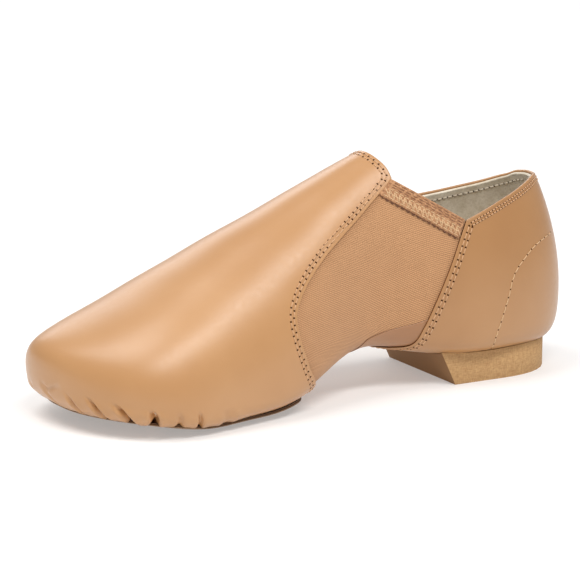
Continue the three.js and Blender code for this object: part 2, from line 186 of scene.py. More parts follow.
def fair_line(places, values, level):
    """A cubic between each two knots, with slope and bend the same on both sides of a knot.
    It leaves both ends level, or straight. Gives the height at a place, or the slope."""
    width = np.diff(places)
    rise = np.diff(values) / width
    count = len(places)
    inner = np.arange(1, count - 1)
    matrix = np.zeros((count, count))
    right = np.zeros(count)
    matrix[inner, inner - 1] = width[:-1]
    matrix[inner, inner] = 2 * (width[:-1] + width[1:])
    matrix[inner, inner + 1] = width[1:]
    right[inner] = 6 * np.diff(rise)
    matrix[0, 0] = matrix[-1, -1] = 1
    if level:
        matrix[0, :2] = 2 * width[0], width[0]
        matrix[-1, -2:] = width[-1], 2 * width[-1]
        right[0], right[-1] = 6 * rise[0], -6 * rise[-1]
    bend = np.linalg.solve(matrix, right)

    def line(place, slope=False):
        place = np.clip(place, places[0], places[-1])
        i = np.clip(np.searchsorted(places, place, "right") - 1, 0, count - 2)
        b = (place - places[i]) / width[i]
        a = 1 - b
        if slope:
            return rise[i] + width[i] * ((3 * b * b - 1) * bend[i + 1] - (3 * a * a - 1) * bend[i]) / 6
        turn = (a**3 - a) * bend[i] + (b**3 - b) * bend[i + 1]
        return a * values[i] + b * values[i + 1] + turn * width[i] ** 2 / 6

    return line


def step_of(place):
    """Sections crowd at the ends: place is half of one minus the cosine of pi times step."""
    return np.arccos(1 - 2 * np.clip(place, 0, 1)) / np.pi


def soft_clamp(place, low, high):
    """The place itself, eased to low and to high by the logarithm of one plus an exponential."""
    raised = low + SOFT_END * np.log1p(np.exp((place - low) / SOFT_END))
    return high - SOFT_END * np.log1p(np.exp((high - raised) / SOFT_END))


girdle_step = step_of(GIRDLE[:, 0])
girdle_centre = fair_line(girdle_step, GIRDLE[:, 1] * BALL_WIDTH, True)
girdle_half = fair_line(girdle_step, GIRDLE[:, 2] * BALL_WIDTH, False)
girdle_rise = fair_line(girdle_step, GIRDLE[:, 3] * THROAT_HEIGHT, True)
full_up, full_top, full_down, full_base = (
    fair_line(girdle_step, GIRDLE[:, column], True) for column in range(4, 8))
ridge_side = fair_line(RIDGE[:, 0], RIDGE[:, 1] * BALL_WIDTH, False)
ridge_height = fair_line(RIDGE[:, 0], RIDGE[:, 2] * THROAT_HEIGHT, False)
keel_height = fair_line(
    KEEL[:, 0], SOLE + GAP + KEEL[:, 1] * HEEL_HEIGHT + KEEL[:, 2] * TOE_SPRING, True)


def on_last(where):
    """A point of the leather's outer face, in mm. where holds step, 0 at the heel to 1 at the
    toe, and turn: 0 on the ridge, 1 and 2 on the girdle and the keel of the outer side, and
    negative on the inner side. Each wall is a cubic curve, upright where it leaves the girdle."""
    step, turn = where[..., 0], where[..., 1]
    side = np.where(turn < 0, -1.0, 1.0)
    upper = np.abs(turn) <= 1
    place = (1 - np.cos(np.pi * step)) / 2
    on_ridge = soft_clamp(place, RIDGE[0, 0], RIDGE[-1, 0])
    on_keel = soft_clamp(place, KEEL[0, 0], KEEL[-1, 0])
    end = np.where(upper, on_ridge, on_keel)
    slope = np.where(upper, ridge_height(end, True), keel_height(end, True))
    start = np.stack([
        place * LENGTH,
        girdle_centre(step) + side * girdle_half(step),
        keel_height(on_keel) + girdle_rise(step),
    ], -1)
    finish = np.stack([
        end * LENGTH,
        np.where(upper, ridge_side(end), girdle_centre(step_of(end))),
        np.where(upper, ridge_height(end), keel_height(end)),
    ], -1)
    handle = start.copy()
    rise = np.where(upper, full_up(step), full_down(step))
    handle[..., 2] += rise * (finish[..., 2] - start[..., 2])
    reach = (start - finish) * np.where(upper, full_top(step), full_base(step))[..., None]
    reach[..., 2] = reach[..., 0] * slope / LENGTH
    t = np.abs(1 - np.abs(turn))[..., None]
    point = (
        (1 - t) ** 3 * start + 3 * (1 - t) ** 2 * t * handle
        + 3 * (1 - t) * t * t * (finish + reach) + t**3 * finish
    )
    point[..., 0] -= HEEL_TO_ORIGIN
    return point


def ways(where):
    """How far the point moves for a small change of step, and of turn."""
    small = 1e-4
    found = []
    for axis, low, high in ((0, 0.0, 1.0), (1, -2.0, 2.0)):
        before, after = where.copy(), where.copy()
        before[..., axis] = np.maximum(where[..., axis] - small, low)
        after[..., axis] = np.minimum(where[..., axis] + small, high)
        run = (after - before)[..., axis][..., None]
        found.append((on_last(after) - on_last(before)) / run)
    return found


def outward(where):
    """Unit vector out of the shoe: along the shoe crossed with round the shoe."""
    along, around = ways(where)
    normal = np.cross(along, around)
    return normal / np.linalg.norm(normal, axis=-1, keepdims=True)


def side_line(rows, tall, steps=40):
    """An edge as seen from the side, in mm: a smooth line through rows of place and height,
    each piece leaving a row along the line between the rows before and after it."""
    rows = np.array(rows) * (LENGTH, tall)
    rows[:, 0] -= HEEL_TO_ORIGIN
    padded = np.concatenate([rows[:1], rows, rows[-1:]])
    t = np.linspace(0, 1, steps)[:, None, None]
    a, b, c, d = (padded[None, k:len(rows) - 1 + k] for k in range(4))
    line = ((d - a + 3 * (b - c)) * t**3 + (2 * a - 5 * b + 4 * c - d) * t**2 + (c - a) * t + 2 * b) / 2
    return line.transpose(1, 0, 2).reshape(-1, 2)


# The edges as drawn in side view: rows of place and height, as shares of length and throat height
SEAM = side_line([
    [0.535, -0.06], [0.558, 0.1], [0.585, 0.214], [0.604, 0.355], [0.599, 0.469],
    [0.546, 0.611], [0.448, 0.774], [0.37, 0.913],
], THROAT_HEIGHT)
THROAT_AT = 0.37
THROAT = side_line(
    [[THROAT_AT, 0.913], [0.3735, 0.958], [0.383, 0.996], [0.4, 1.05]], THROAT_HEIGHT)
VAMP_EDGE = np.concatenate([SEAM, THROAT[1:]])
VAMP_EDGE_STEPS = (0.3, 0.75)
QUARTER_EDGE = side_line([
    [0.404, 0.168], [0.376, 0.18], [0.351, 0.2], [0.337, 0.275], [0.324, 0.344],
    [0.305, 0.445], [0.286, 0.542], [0.265, 0.652],
], THROAT_HEIGHT)
DIP_AT = 0.248
DIP = np.array([DIP_AT * LENGTH - HEEL_TO_ORIGIN, DIP_HEIGHT])
QUARTER_EDGE = np.concatenate([QUARTER_EDGE, DIP[None]])
QUARTER_EDGE_STEPS = (0.15, 0.6)
CORNER = THROAT[0]
# The collar of each side: place, and share of the way up from the dip to the full height
COLLARS = {
    1: [
        [-0.05, 0.9], [0.038, 0.9], [0.058, 0.95], [0.075, 0.95], [0.1, 0.83], [0.135, 0.64],
        [0.175, 0.43], [0.22, 0.17],
    ],
    -1: [
        [-0.05, 0.9], [0.038, 0.9], [0.06, 0.67], [0.094, 0.42], [0.135, 0.26], [0.175, 0.14],
        [0.22, 0.05],
    ],
}


def top_edge(side, x):
    """Height of the open edge over a place along the shoe: the collar, and ahead of its dip
    the straight top of the gore."""
    rows = [[place, (DIP_HEIGHT + share * (COLLAR_HEIGHT - DIP_HEIGHT)) / THROAT_HEIGHT]
            for place, share in COLLARS[side]]
    collar = np.concatenate([side_line(rows, THROAT_HEIGHT), DIP[None]])
    slope = (CORNER[1] - DIP[1]) / (CORNER[0] - DIP[0])
    return np.where(x < DIP[0], np.interp(x, collar[:, 0], collar[:, 1]), DIP[1] + slope * (x - DIP[0]))


def meet(measure, low, high):
    """Where a measure that is negative at low and positive at high passes zero, by halving."""
    for _ in range(40):
        middle = (low + high) / 2
        over = measure(middle) > 0
        low, high = np.where(over, low, middle), np.where(over, middle, high)
    return (low + high) / 2


def step_on_edge(edge, turn, low, high):
    """The step at each turn where the last meets an edge drawn in side view."""
    order = np.argsort(edge[:, 1])
    heights, places = edge[order, 1], edge[order, 0]

    def past(step):
        point = on_last(np.stack([step, turn], -1))
        return point[..., 0] - np.interp(point[..., 2], heights, places)

    return meet(past, np.full_like(turn, low), np.full_like(turn, high))


def seen_at(view, side, step=0.4, turn=0.5):
    """Places of one side whose side view is at the given points: each round moves step and
    turn by what closes the gap if the last were flat there."""
    where = pair(np.full(len(view), step), side * turn)
    for _ in range(12):
        along, around = ways(where)
        gap = view - on_last(where)[:, [0, 2]]
        a, b, c, d = along[:, 0], around[:, 0], along[:, 2], around[:, 2]
        whole = a * d - b * c
        move = np.stack([
            (gap[:, 0] * d - gap[:, 1] * b) / whole, (gap[:, 1] * a - gap[:, 0] * c) / whole], -1)
        where = where + np.clip(move, -0.1, 0.1)
        where[:, 1] = side * np.clip(side * where[:, 1], 0.0, 2.0)
    return where


def turn_on_top(side, step, lower=0.0):
    """The turn at each step where the last meets the open edge, lowered by some mm."""
    def under(turn):
        point = on_last(np.stack([step, side * turn], -1))
        return top_edge(side, point[..., 0]) - lower - point[..., 2]

    return side * meet(under, np.zeros_like(step), np.full_like(step, 1.2))


def spread(count, close=5, tight=0.012):
    """Even shares from 0 to 1 with a few more beside both ends, where an edge is rounded."""
    even = np.linspace(0, 1, count)
    edge = tight * np.linspace(0, 1, close + 1)[1:]
    return np.unique(np.concatenate([even, edge, 1 - edge]))


def fill(first, last, low, high, rows, columns):
    """Places between four edges: two blends of facing edges, less the blend of the corners.
    first and last run round the shoe, low and high run along it."""
    along = np.asarray(rows)[:, None, None]
    around = np.asarray(columns)[None, :, None]
    a = (1 - along) * first[None] + along * last[None]
    b = (1 - around) * low[:, None] + around * high[:, None]
    corners = (
        (1 - along) * ((1 - around) * first[0] + around * first[-1])
        + along * ((1 - around) * last[0] + around * last[-1])
    )
    return a + b - corners


def reach_from(points, axis, last):
    """Distance in mm of each grid point from the first or last line of the grid."""
    gaps = np.linalg.norm(np.diff(points, axis=axis), axis=-1)
    total = np.cumsum(gaps, axis=axis)
    run = np.insert(total, 0, 0.0, axis=axis)
    return run.take([-1], axis=axis) - run if last else run


def cut_part(where, outer, inner, edges, roll=0.45, relief=None, weave=None, folded=()):
    """Points and faces of a sheet between two depths under the last. Along each named edge the
    face falls away as a quarter circle of radius roll. relief adds depth in mm to each place.
    The wall of a folded edge keeps the material of the face."""
    points = on_last(where)
    fall = np.zeros(where.shape[:2])
    for axis, last in edges:
        near = np.clip(1 - reach_from(points, axis, last) / roll, 0, 1)
        fall = np.maximum(fall, roll * (1 - np.sqrt(1 - near**2)))
    normal = outward(where)
    extra = 0.0 if relief is None else relief(where)
    top = points - normal * (outer + fall + extra)[..., None]
    under = points - normal * (inner - 0.7 * fall + extra)[..., None]
    rows, columns = where.shape[:2]
    index = np.arange(rows * columns).reshape(rows, columns)
    a, b, c, d = index[:-1, :-1], index[1:, :-1], index[1:, 1:], index[:-1, 1:]
    face = np.stack([a, b, c, d], -1).reshape(-1, 4)
    shift = rows * columns
    cut = {
        (1, False): (index[1:, 0], index[:-1, 0]),
        (1, True): (index[:-1, -1], index[1:, -1]),
        (0, False): (index[0, :-1], index[0, 1:]),
        (0, True): (index[-1, 1:], index[-1, :-1]),
    }
    rims = [np.stack([*cut[edge], cut[edge][1] + shift, cut[edge][0] + shift], -1) for edge in edges]
    rim = np.concatenate(rims) if rims else np.zeros((0, 4), int)
    faces = np.concatenate([face, face[:, ::-1] + shift, rim])
    bare = np.repeat([edge not in folded for edge in edges], [len(one) for one in rims])
    marks = np.concatenate([np.zeros(2 * len(face)), bare])
    flat = np.zeros((shift, 2)) if weave is None else weave.reshape(-1, 2)
    body = np.concatenate([top.reshape(-1, 3), under.reshape(-1, 3)])
    return body, faces, marks, np.concatenate([flat, flat])


def whole_piece(name, parts, *materials):
    """One smooth mesh from parts. Points that lie on each other become one, as where the two
    sides meet along the toe, the keel and the back of the heel."""
    start = np.cumsum([0] + [len(part[0]) for part in parts[:-1]])
    points = np.concatenate([part[0] for part in parts]) * MM
    faces = np.concatenate([part[1] + first for part, first in zip(parts, start)])
    marks = np.concatenate([part[2] for part in parts]).astype(np.int32)
    flat = np.concatenate([part[3] for part in parts])
    body = bpy.data.meshes.new(name)
    body.from_pydata(points.tolist(), [], faces.tolist())
    body.polygons.foreach_set("material_index", marks)
    body.polygons.foreach_set("use_smooth", np.ones(len(faces), bool))
    body.uv_layers.new(name="weave").data.foreach_set("uv", flat[faces.ravel()].ravel())
    work = bmesh.new()
    work.from_mesh(body)
    bmesh.ops.remove_doubles(work, verts=work.verts, dist=2e-6)
    work.to_mesh(body)
    work.free()
    for finish in materials:
        body.materials.append(finish)
    made = bpy.data.objects.new(name, body)
    bpy.context.scene.collection.objects.link(made)
    return made


def hand_over(piece, body_slot, *nodes):
    """The piece rides on the shoe and stands for its CAD nodes, which are hidden. body_slot is not used."""
    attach(piece, "root")
    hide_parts(*nodes)


def pair(step, turn):
    """Step and turn side by side, either of them the same all along."""
    return np.stack(np.broadcast_arrays(step, turn), -1).astype(float)


def ease(value, low, high):
    """0 below low, 1 over high, and a smooth cubic between."""
    t = np.clip((value - low) / (high - low), 0, 1)
    return t * t * (3 - 2 * t)


def heel_part(side, rows, columns, lower=0.0):
    """Places of one side of a piece around the heel, from the back line to its front edge. Both
    sides share the back line, so their open edges are eased together over the first rows."""
    dip_step = step_of(DIP_AT)
    low_step = rows * dip_step
    low = pair(low_step, turn_on_top(side, low_step, lower))
    shared = side * turn_on_top(1, np.zeros(1), lower)[0]
    low[:, 1] += (shared - low[0, 1]) * (1 - ease(rows, 0.0, 0.15))
    first = pair(0.0, shared + (2 * side - shared) * columns)
    front_turn = low[-1, 1] + (2 * side - low[-1, 1]) * columns
    last = pair(step_on_edge(QUARTER_EDGE, front_turn, *QUARTER_EDGE_STEPS), front_turn)
    last[0, 0] = dip_step
    high = pair(rows * last[-1, 0], 2.0 * side)
    where = fill(first, last, low, high, rows, columns)
    return where if side > 0 else where[:, ::-1]


felt, felt_tree, felt_shader = finish_named(
    "lining_felt_brushed", Base_Color=linear(0xB7AB93), Roughness=0.95, Sheen_Weight=0.35)
# Short raised fibres: pale and darker flecks of about a millimetre, and no gloss.
felt_place = node(felt_tree, "ShaderNodeTexCoord").outputs["Object"]
felt_fleck = node(
    felt_tree, "ShaderNodeTexNoise", {"Scale": 900.0, "Detail": 4.0, "Roughness": 0.7},
    {"Vector": felt_place})
felt_cloud = node(
    felt_tree, "ShaderNodeTexNoise", {"Scale": 140.0, "Detail": 3.0}, {"Vector": felt_place})
felt_mix = node(
    felt_tree, "ShaderNodeMix", {"Factor": 0.5},
    {"A": felt_fleck.outputs["Fac"], "B": felt_cloud.outputs["Fac"]}, data_type="FLOAT")
felt_paint = node(felt_tree, "ShaderNodeValToRGB", None, {"Fac": felt_mix.outputs["Result"]})
felt_paint.color_ramp.elements[0].color = linear(0xC2B59B)
felt_paint.color_ramp.elements[0].position = 0.3
felt_paint.color_ramp.elements[1].color = linear(0xF0E8D8)
felt_paint.color_ramp.elements[1].position = 0.66
felt_tree.links.new(felt_paint.outputs["Color"], felt_shader.inputs["Base Color"])
felt_bump = node(
    felt_tree, "ShaderNodeBump", {"Strength": 0.5, "Distance": 0.3 * MM},
    {"Height": felt_mix.outputs["Result"]})
felt_tree.links.new(felt_bump.outputs["Normal"], felt_shader.inputs["Normal"])

shares_round = spread(40)
shares_along = spread(50)
lining_sides = []
for side in (1, -1):
    where = heel_part(side, shares_along, shares_round, 0.5)
    to_front = reach_from(on_last(where), 0, True)
    tuck = LINING_FACE + 0.55 * (1 - ease(to_front, 4.0, 10.0))
    lining_sides.append(cut_part(where, tuck, LINING_BACK + 0 * tuck, [(0, True), (1, side < 0)], 0.3))
quarter_lining = whole_piece("quarter_lining", lining_sides, felt, felt)
hand_over(quarter_lining, "lining_felt", "upper")

toe_turn = np.linspace(-2, 2, 161)
throat_step = step_on_edge(VAMP_EDGE, toe_turn, *VAMP_EDGE_STEPS)
toe_rows = spread(90, 4, 0.008)
lining_start = throat_step[None] + 0.003
where = pair(lining_start + (1 - lining_start) * toe_rows[:, None], toe_turn[None])
under_pleats = ease(np.abs(toe_turn), 0.95, 1.1) + 0 * where[..., 0]
# Deeper under the gores' front ends, and deeper still under the pleats
tuck = LINING_FACE + 0.6 * ease(np.abs(toe_turn), 0.35, 0.5) * (1 - under_pleats) + 1.15 * under_pleats
vamp_lining = whole_piece(
    "vamp_lining", [cut_part(where, tuck, LINING_BACK + 0.3 * under_pleats, [(0, False)], 0.2)],
    felt, felt)
hand_over(vamp_lining, "lining_felt", "upper")

# Gores
# A panel of ribbed elastic on each side, sewn under the vamp and under the quarter. The ribs
# are the covered rubber threads: they run lengthwise and fall a little towards the heel.
RIB_PITCH = 0.85
RIB_FALL = math.radians(16.0)
KNIT_PITCH = 0.9
GORE_TUCK = 0.014
GORE_FACE = 1.27
GORE = 0.5
elastic, elastic_tree, elastic_shader = finish_named(
    "gore_elastic_ribbed_knit", Roughness=0.8, Sheen_Weight=0.25)
# Painted light and shade of the ribs: fine ridges painted lighter, the lines between them darker,
# and a cloudy, slightly worn tone. The ribs follow the piece's own map, whose units are millimetres.
ribs_at = node(elastic_tree, "ShaderNodeUVMap", uv_map="weave").outputs["UV"]
rib_split = node(elastic_tree, "ShaderNodeSeparateXYZ", None, {"Vector": ribs_at})
rib_turns = node(
    elastic_tree, "ShaderNodeMath", {1: 2 * math.pi / RIB_PITCH}, {0: rib_split.outputs["Y"]},
    operation="MULTIPLY")
rib_wave = node(elastic_tree, "ShaderNodeMath", None, {0: rib_turns.outputs[0]}, operation="SINE")
rib_height = node(
    elastic_tree, "ShaderNodeMath", {1: 0.5, 2: 0.5}, {0: rib_wave.outputs[0]},
    operation="MULTIPLY_ADD")
knit_turns = node(
    elastic_tree, "ShaderNodeMath", {1: 2 * math.pi / KNIT_PITCH}, {0: rib_split.outputs["X"]},
    operation="MULTIPLY")
knit_wave = node(elastic_tree, "ShaderNodeMath", None, {0: knit_turns.outputs[0]}, operation="SINE")
knit_height = node(
    elastic_tree, "ShaderNodeMath", {1: 0.12}, {0: knit_wave.outputs[0], 2: rib_height.outputs[0]},
    operation="MULTIPLY_ADD")
elastic_cloud = node(
    elastic_tree, "ShaderNodeTexNoise", {"Scale": 120.0, "Detail": 5.0, "Roughness": 0.65},
    {"Vector": node(elastic_tree, "ShaderNodeTexCoord").outputs["Object"]})
# The ramp follows the ribs' height: painted highlight on the ridges, painted shade in the grooves.
elastic_tone_and_rib_shade = node(
    elastic_tree, "ShaderNodeMath", {1: 0.45}, {0: elastic_cloud.outputs["Fac"], 2: knit_height.outputs[0]},
    operation="MULTIPLY_ADD")
elastic_paint = node(elastic_tree, "ShaderNodeValToRGB", None, {"Fac": elastic_tone_and_rib_shade.outputs[0]})
elastic_paint.color_ramp.elements[0].color = linear(0x986840)
elastic_paint.color_ramp.elements[0].position = 0.0
elastic_paint.color_ramp.elements[1].color = linear(0xCB996C)
elastic_paint.color_ramp.elements[1].position = 1.0
elastic_tree.links.new(elastic_paint.outputs["Color"], elastic_shader.inputs["Base Color"])
elastic_bump = node(
    elastic_tree, "ShaderNodeBump", {"Strength": 0.55, "Distance": 0.2 * MM},
    {"Height": knit_height.outputs[0]})
elastic_tree.links.new(elastic_bump.outputs["Normal"], elastic_shader.inputs["Normal"])

for side, name in ((1, "gore_lateral"), (-1, "gore_medial")):
    down = np.linspace(0, 1, 90)
    across = np.linspace(0, 1, 60)
    top_front = step_of(THROAT_AT) + GORE_TUCK
    top_back = step_of(DIP_AT) - GORE_TUCK
    low_steps = top_back + (top_front - top_back) * across
    low = pair(low_steps, turn_on_top(side, low_steps, 0.4))
    back_turn = low[0, 1] + (2 * side - low[0, 1]) * down
    front_turn = low[-1, 1] + (2 * side - low[-1, 1]) * down
    first = pair(step_on_edge(QUARTER_EDGE, back_turn, *QUARTER_EDGE_STEPS) - GORE_TUCK, back_turn)
    last = pair(step_on_edge(VAMP_EDGE, front_turn, *VAMP_EDGE_STEPS) + GORE_TUCK, front_turn)
    first[0, 0], last[0, 0] = low[0, 0], low[-1, 0]
    high = pair(first[-1, 0] + (last[-1, 0] - first[-1, 0]) * across, 2.0 * side)
    where = fill(first, last, low, high, across, down)
    points = on_last(where)
    drop = reach_from(points, 1, False)
    across_ribs = (
        -points[:, :1, 0] * math.sin(RIB_FALL) + points[:, :1, 2] * math.cos(RIB_FALL) - drop)
    along_ribs = points[..., 0] * math.cos(RIB_FALL) + points[..., 2] * math.sin(RIB_FALL)
    weave = np.stack([along_ribs, across_ribs], -1)
    if side < 0:
        where, weave = where[:, ::-1], weave[:, ::-1]
    depth = np.full(where.shape[:2], GORE_FACE)
    gore_sides = [(0, False), (0, True), (1, side < 0)]
    gore = whole_piece(
        name, [cut_part(where, depth, depth + GORE, gore_sides, 0.2, weave=weave)], elastic, elastic)
    hand_over(gore, "gore_elastic", "upper")

# Quarter
# Smooth tan leather around the heel, closed under the heel seat. Its collar edge is folded and its
# front edges are cut, both sewn with two rows, and one row of long stitches holds the heel stiffener.
QUARTER = 1.2


def tan_leather(name, coarse, deep, light):
    """Smooth full-grain leather, dyed and lightly waxed: an even tan with faint clouds, a broad
    soft highlight, and pores that only break up the gloss. They are 0.6 mm apart, coarser than
    real ones, so that they show. The last few millimetres over the floor are painted darker:
    painted shade near the floor."""
    made, tree, shader = finish_named(
        name, Roughness=0.4, IOR=1.5, Coat_Weight=0.5, Coat_Roughness=0.36)
    place = node(tree, "ShaderNodeTexCoord").outputs["Object"]
    cloud = node(
        tree, "ShaderNodeTexNoise", {"Scale": 22.0, "Detail": 3.0, "Roughness": 0.5},
        {"Vector": place})
    paint = node(tree, "ShaderNodeValToRGB", None, {"Fac": cloud.outputs["Fac"]})
    paint.color_ramp.elements[0].color = linear(deep)
    paint.color_ramp.elements[0].position = 0.3
    paint.color_ramp.elements[1].color = linear(light)
    paint.color_ramp.elements[1].position = 0.7
    heights = node(tree, "ShaderNodeSeparateXYZ", None, {"Vector": place})
    # Painted shade: over the last 5.5 mm above the floor the tan is mixed towards dark brown 0x74492C, as
    # the shade near the floor.
    painted_floor_shade = node(
        tree, "ShaderNodeMapRange",
        {"From Min": 0.5 * MM, "From Max": 5.5 * MM, "To Min": 0.6, "To Max": 0.0},
        {"Value": heights.outputs["Z"]})
    tone = node(
        tree, "ShaderNodeMixRGB", {"Color2": linear(0x74492C)},
        {"Fac": painted_floor_shade.outputs["Result"], "Color1": paint.outputs["Color"]})
    tree.links.new(tone.outputs["Color"], shader.inputs["Base Color"])
    pores = node(
        tree, "ShaderNodeTexVoronoi", {"Scale": 1600.0, "Randomness": 1.0}, {"Vector": place})
    grain = node(
        tree, "ShaderNodeTexNoise", {"Scale": 520.0, "Detail": 3.0, "Roughness": 0.6},
        {"Vector": place})
    relief = node(
        tree, "ShaderNodeMath", {1: coarse}, {0: pores.outputs["Distance"], 2: grain.outputs["Fac"]},
        operation="MULTIPLY_ADD")
    bump = node(
        tree, "ShaderNodeBump", {"Strength": 0.12, "Distance": 0.12 * MM},
        {"Height": relief.outputs[0]})
    tree.links.new(bump.outputs["Normal"], shader.inputs["Normal"])
    gloss = node(
        tree, "ShaderNodeMapRange", {"From Min": 0.3, "From Max": 0.7, "To Min": 0.34, "To Max": 0.44},
        {"Value": grain.outputs["Fac"]})
    tree.links.new(gloss.outputs["Result"], shader.inputs["Roughness"])
    return made


leather = tan_leather("tan_leather_smooth", 0.5, 0xBA8856, 0xC39261)
# The quarter is the same hide as the vamp, its tones painted darker as painted shade on the shoe's side.
quarter_leather_painted_shade = tan_leather("tan_leather_quarter_painted_shade", 0.5, 0xAC7B4A, 0xB68655)
# Where the hide is cut through, its fibres drink the dye: dark brown, and quite matt.
# Its brown is made darker still as a painted shadow, the dark line where the quarter's front edge stands
# over the gore.
leather_cut_and_shadow, _, _ = finish_named(
    "tan_leather_cut_edge_painted_shadow", Base_Color=linear(0x4E2C17), Roughness=0.85, Specular_IOR_Level=0.2)


def wander(points, amount):
    """Slow hollows and swells of soft leather: sines of 40 to 70 mm waves, multiplied."""
    x, y, z = points[..., 0], points[..., 1], points[..., 2]
    return amount * (
        np.sin(x / 9.1 + 0.6) * np.sin(z / 7.3 + 1.1) + 0.7 * np.sin(x / 6.2 - z / 8.4 + y / 11.0))


def quarter_relief(where):
    return wander(on_last(where), 0.1)


quarter_sides = []
quarter_edges = {}
for side in (1, -1):
    where = heel_part(side, shares_along, shares_round)
    depth = np.zeros(where.shape[:2])
    open_edge = (1, side < 0)
    collar_roll = -0.16 * np.exp(-((reach_from(on_last(where), *open_edge) - 0.75) / 0.5) ** 2)
    quarter_sides.append(cut_part(
        where, depth + collar_roll, depth + QUARTER, [(0, True), open_edge], 0.3, quarter_relief,
        folded=[open_edge]))
    quarter_edges[side] = (where[-1, ::side], where[:, 0 if side > 0 else -1])
quarter = whole_piece("quarter_leather", quarter_sides, quarter_leather_painted_shade, leather_cut_and_shadow)
hand_over(quarter, "tan_leather", "quarter")


def beside(line, distance):
    """A line of places moved over the last by a distance in mm, square to its own run: the
    two ways over the surface are mixed so that together they give that move. What would cross
    itself inside a corner is left out."""
    along, around = ways(line)
    ahead = np.gradient(on_last(line), axis=0)
    ahead /= np.linalg.norm(ahead, axis=-1, keepdims=True)
    across = np.cross(outward(line), ahead) * distance
    aa, ab, bb = (along * along).sum(-1), (along * around).sum(-1), (around * around).sum(-1)
    ac, bc = (along * across).sum(-1), (around * across).sum(-1)
    whole = aa * bb - ab * ab
    moved = line + np.stack([(ac * bb - bc * ab) / whole, (bc * aa - ac * ab) / whole], -1)
    gaps = np.linalg.norm(on_last(moved)[:, None] - on_last(line)[None], axis=-1).min(1)
    return moved[gaps > 0.93 * abs(distance)]


def at_pitch(line, pitch, start=0.0, end=0.0):
    """Places one stitch apart along a line, measured over the last, from start to end in mm."""
    run = np.linalg.norm(np.diff(on_last(line), axis=0), axis=-1)
    run = np.insert(np.cumsum(run), 0, 0.0)
    length = run[-1] - start - end
    marks = start + length * np.linspace(0, 1, max(2, round(length / pitch)))
    return np.stack([np.interp(marks, run, line[:, k]) for k in (0, 1)], -1)


def stitches(rows, depth, relief, thread=0.3, hole=0.36, arch=0.16, face=1.0):
    """Points, faces and marks of sewn rows. A stitch is a tube from hole to hole that rises as a
    flat arch, its ends drawn in, and a hole is a dished disc of six faces. With face -1 they
    lie on the sheet's inside."""
    angle = np.arange(6) * np.pi / 3
    t = np.array([0.04, 0.2, 0.5, 0.8, 0.96])
    height = np.array([-0.22, 0.05, arch, 0.05, -0.22])
    width = thread * np.array([0.6, 0.95, 1.0, 0.95, 0.6])
    ring = np.arange(6)
    tube = np.concatenate([
        np.stack([k * 6 + ring, k * 6 + (ring + 1) % 6, k * 6 + 6 + (ring + 1) % 6, k * 6 + 6 + ring], -1)
        for k in range(4)])
    disc = np.stack([ring, (ring + 1) % 6, np.full(6, 6), np.full(6, 6)], -1)
    body, faces, marks, count = [], [], [], 0
    for row in rows:
        normal = face * outward(row)
        place = on_last(row) - face * normal * (depth + relief(row))[:, None]
        if thread:
            run = np.diff(place, axis=0)[:, None, None]
            out = normal[:-1, None, None]
            aside = np.cross(run, out)
            aside /= np.linalg.norm(aside, axis=-1, keepdims=True)
            centre = place[:-1, None, None] + run * t[:, None, None] + out * height[:, None, None]
            round_it = aside * np.cos(angle)[:, None] - out * np.sin(angle)[:, None]
            tubes = centre + width[:, None, None] * round_it
            body.append(tubes.reshape(-1, 3))
            shift = count + 30 * np.arange(len(tubes))[:, None, None]
            faces.append((tube[None] + shift).reshape(-1, 4))
            marks.append(np.zeros(len(tubes) * len(tube)))
            count += 30 * len(tubes)
        if hole:
            ahead = np.gradient(place, axis=0)[:, None]
            ahead /= np.linalg.norm(ahead, axis=-1, keepdims=True)
            out = normal[:, None]
            wide = np.cross(out, ahead)
            circle = (
                place[:, None] + hole * (ahead * np.cos(angle)[:, None] + wide * np.sin(angle)[:, None])
                + 0.03 * out)
            body.append(np.concatenate([circle, place[:, None] + 0.02 * out], 1).reshape(-1, 3))
            shift = count + 7 * np.arange(len(row))[:, None, None]
            faces.append((disc[None] + shift).reshape(-1, 4))
            marks.append(np.ones(len(row) * 6))
            count += 7 * len(row)
    body = np.concatenate(body)
    return body, np.concatenate(faces), np.concatenate(marks), np.zeros((len(body), 2))


def sewn_piece(name, part, thread, hole):
    """Stitches as one mesh. The discs' doubled last corner goes, so they are triangles."""
    body, faces, marks, _ = part
    shape = bpy.data.meshes.new(name)
    tidy = [face[:3] if face[2] == face[3] else face for face in faces.tolist()]
    shape.from_pydata((body * MM).tolist(), [], tidy)
    shape.polygons.foreach_set("material_index", marks.astype(np.int32))
    shape.polygons.foreach_set("use_smooth", np.ones(len(tidy), bool))
    shape.materials.append(thread)
    shape.materials.append(hole)
    made = bpy.data.objects.new(name, shape)
    bpy.context.scene.collection.objects.link(made)
    return made


def thread_named(name, paint):
    """Bonded polyester sewing thread: a twisted, slightly shiny strand, tan like the leather."""
    made, tree, shader = finish_named(name, Roughness=0.55, Sheen_Weight=0.15)
    place = node(tree, "ShaderNodeTexCoord").outputs["Object"]
    twist = node(tree, "ShaderNodeTexNoise", {"Scale": 1400.0, "Detail": 2.0}, {"Vector": place})
    ramp = node(tree, "ShaderNodeValToRGB", None, {"Fac": twist.outputs["Fac"]})
    ramp.color_ramp.elements[0].color = linear(paint - 0x202020)
    ramp.color_ramp.elements[1].color = linear(paint + 0x101010)
    tree.links.new(ramp.outputs["Color"], shader.inputs["Base Color"])
    return made


thread_tan = thread_named("sewing_thread_tan", 0xD2A67C)
thread_pale = thread_named("sewing_thread_pale", 0xDDB98E)
# Brown thread for the loops under the tapes, also laid in the tapes' grooves as painted shade.
thread_brown_and_groove_shade = thread_named("sewing_thread_brown_and_groove_shade", 0x7A4D2E)
thread_grey = thread_named("sewing_thread_grey", 0xD3C8B4)
